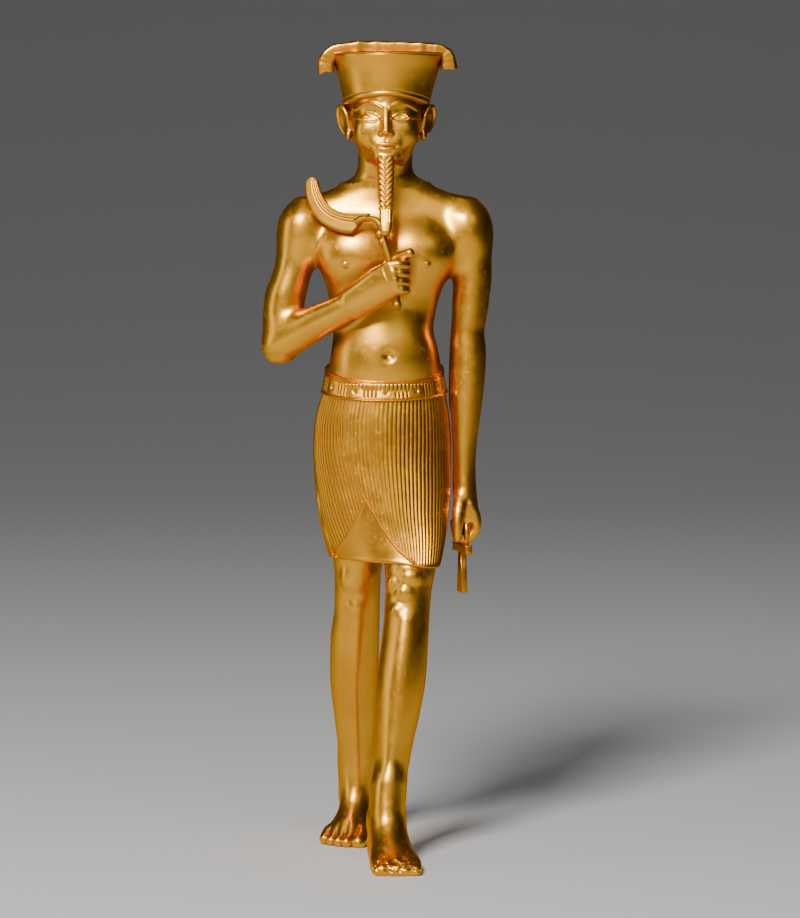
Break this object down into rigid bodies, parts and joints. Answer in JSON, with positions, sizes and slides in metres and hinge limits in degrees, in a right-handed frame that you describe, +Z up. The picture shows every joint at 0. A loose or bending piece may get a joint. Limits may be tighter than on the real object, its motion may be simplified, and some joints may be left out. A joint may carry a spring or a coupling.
{
  "type": "striding god statuette",
  "caption": "Cast gold statuette of a striding god with a flat-topped crown, plaited beard, pleated kilt, curved scimitar and looped cross.",
  "frame": {"origin": "on the floor under the middle of the whole outline, seen from above", "axes": "+Z up, -Y the way the figure looks and walks, -X towards its right hand"},
  "size_m": [0.0508, 0.0584, 0.175],
  "materials": {
    "cast_gold": "hand-polished gold with fine scratches and reddish hollows",
    "blade_gold": "polished gold with engraved lines",
    "ankh_gold": "polished gold"
  },
  "bodies": {
    "root": {"figure": "cast_gold", "scimitar": "blade_gold", "ankh": "ankh_gold"}
  },
  "joints": []
}
